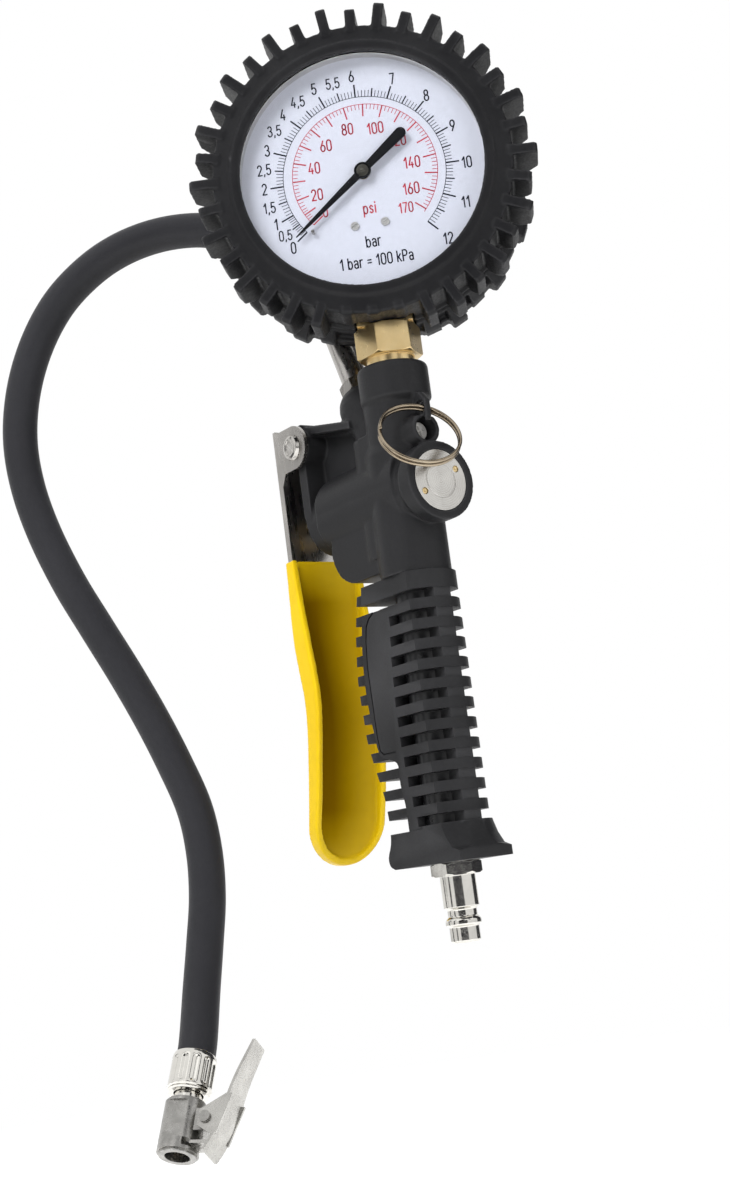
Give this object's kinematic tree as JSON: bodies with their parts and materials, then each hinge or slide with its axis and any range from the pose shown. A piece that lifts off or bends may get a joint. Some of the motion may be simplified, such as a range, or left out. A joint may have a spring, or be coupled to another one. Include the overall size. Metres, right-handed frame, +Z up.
{
  "type": "tyre inflator",
  "caption": "Hand-held tyre inflator: slotted grip, squeeze trigger, dial gauge in a toothed rubber boot, and a filling hose that ends in a clip-on chuck.",
  "frame": {"origin": "on the inlet plug's axis, at the shoulder where its shank meets the hexagon", "axes": "+Z up the grip to the gauge, +X to the palm side, -X to the trigger, +/-Y the flat sides"},
  "size_m": [0.1872, 0.146, 0.3846],
  "materials": {
    "black_plastic": "moulded, fine texture",
    "gloss_tube": "glossy",
    "boot_rubber": "moulded rubber",
    "hose_rubber": "smooth rubber",
    "seal_rubber": "smooth rubber",
    "yellow_vinyl": "dipped vinyl",
    "plated_steel": "nickel plated",
    "steel": "plain",
    "ring_steel": "yellowish plating",
    "turned_aluminium": "turned",
    "brass": "machined",
    "black_steel": "black enamel",
    "dial_white": "printed dial",
    "pointer_black": "matt black",
    "glass": "clear"
  },
  "bodies": {
    "inflator": {"inlet_plug": "plated_steel", "plug_seal": "seal_rubber", "grip": "black_plastic", "air_tube": "gloss_tube", "tube_seal": "seal_rubber", "valve_body": "black_plastic", "valve_seat": "brass", "stem_guide": "brass", "stem_seal": "seal_rubber", "valve_cap": "turned_aluminium", "boss_screw": "steel", "pivot_rivet": "steel", "neck_adapter": "brass", "neck_seal": "seal_rubber", "gauge_socket": "brass", "bourdon_tube": "brass", "tip_block": "brass", "hair_spring": "brass", "movement_back_plate": "brass", "movement_front_plate": "brass", "movement_pillars": "brass", "dial_posts": "brass", "dial_screws": "steel", "dial_stop": "steel", "gauge_case": "black_steel", "dial_plate": "dial_white", "spacer_ring": "turned_aluminium", "gauge_glass": "glass", "bezel": "black_steel", "rubber_boot": "boot_rubber", "hose_fitting": "plated_steel", "fitting_seal": "seal_rubber", "upper_ferrule": "plated_steel", "hose": "hose_rubber", "chuck_ferrule": "plated_steel", "chuck_tail": "plated_steel", "chuck_body": "plated_steel", "chuck_seal": "seal_rubber", "valve_opener": "brass", "clip_pin": "steel", "clip_spring": "steel"},
    "trigger": {"trigger_frame": "plated_steel", "trigger_sleeve": "yellow_vinyl"},
    "stem": {"valve_stem": "steel", "poppet": "seal_rubber", "poppet_washer": "steel", "valve_spring": "steel"},
    "sector": {"sector_gear": "brass"},
    "link": {"tip_link": "steel"},
    "needle": {"pointer": "pointer_black", "pointer_cap": "steel", "pinion": "brass"},
    "clip": {"chuck_clip": "plated_steel"},
    "key_ring": {"split_ring": "ring_steel"}
  },
  "joints": [
    {"name": "trigger_hinge", "type": "hinge", "parent": "inflator", "child": "trigger", "pos_m": [-0.045, 0, 0.16], "axis": [0, -1, 0], "range_deg": [0, 9], "stiffness_Nm_per_rad": 2, "springref_deg": -5.73},
    {"name": "stem_slide", "type": "slide", "parent": "inflator", "child": "stem", "axis": [1, 0, 0], "range_m": [0, 0.0045]},
    {"name": "sector_hinge", "type": "hinge", "parent": "inflator", "child": "sector", "pos_m": [0.01413, 0.00542, 0.2265], "axis": [0.7604, -0.6494, 0], "range_deg": [0, 35.2], "stiffness_Nm_per_rad": 0.002, "springref_deg": -11.46},
    {"name": "pointer_hinge", "type": "hinge", "parent": "inflator", "child": "needle", "pos_m": [0.01265, -0.00909, 0.243], "axis": [-0.7604, 0.6494, 0], "range_deg": [0, 264]},
    {"name": "link_hinge", "type": "hinge", "parent": "sector", "child": "link", "pos_m": [0.01703, 0.00836, 0.22084], "axis": [-0.7604, 0.6494, 0], "range_deg": [0, 35.2]},
    {"name": "clip_hinge", "type": "hinge", "parent": "inflator", "child": "clip", "pos_m": [-0.04635, -0.07702, -0.06883], "axis": [0.5272, -0.6593, 0.5361], "range_deg": [0, 18], "stiffness_Nm_per_rad": 0.06, "springref_deg": -11.46},
    {"name": "ring_swing", "type": "hinge", "parent": "inflator", "child": "key_ring", "pos_m": [0.0156, 0, 0.1573], "axis": [0, -1, 0], "range_deg": [0, 50]}
  ],
  "couplings": [
    {"joint": "stem_slide", "follows": "trigger_hinge", "m_per_rad": 0.0285},
    {"joint": "pointer_hinge", "follows": "sector_hinge", "ratio": 7.5},
    {"joint": "link_hinge", "follows": "sector_hinge", "ratio": 1}
  ]
}
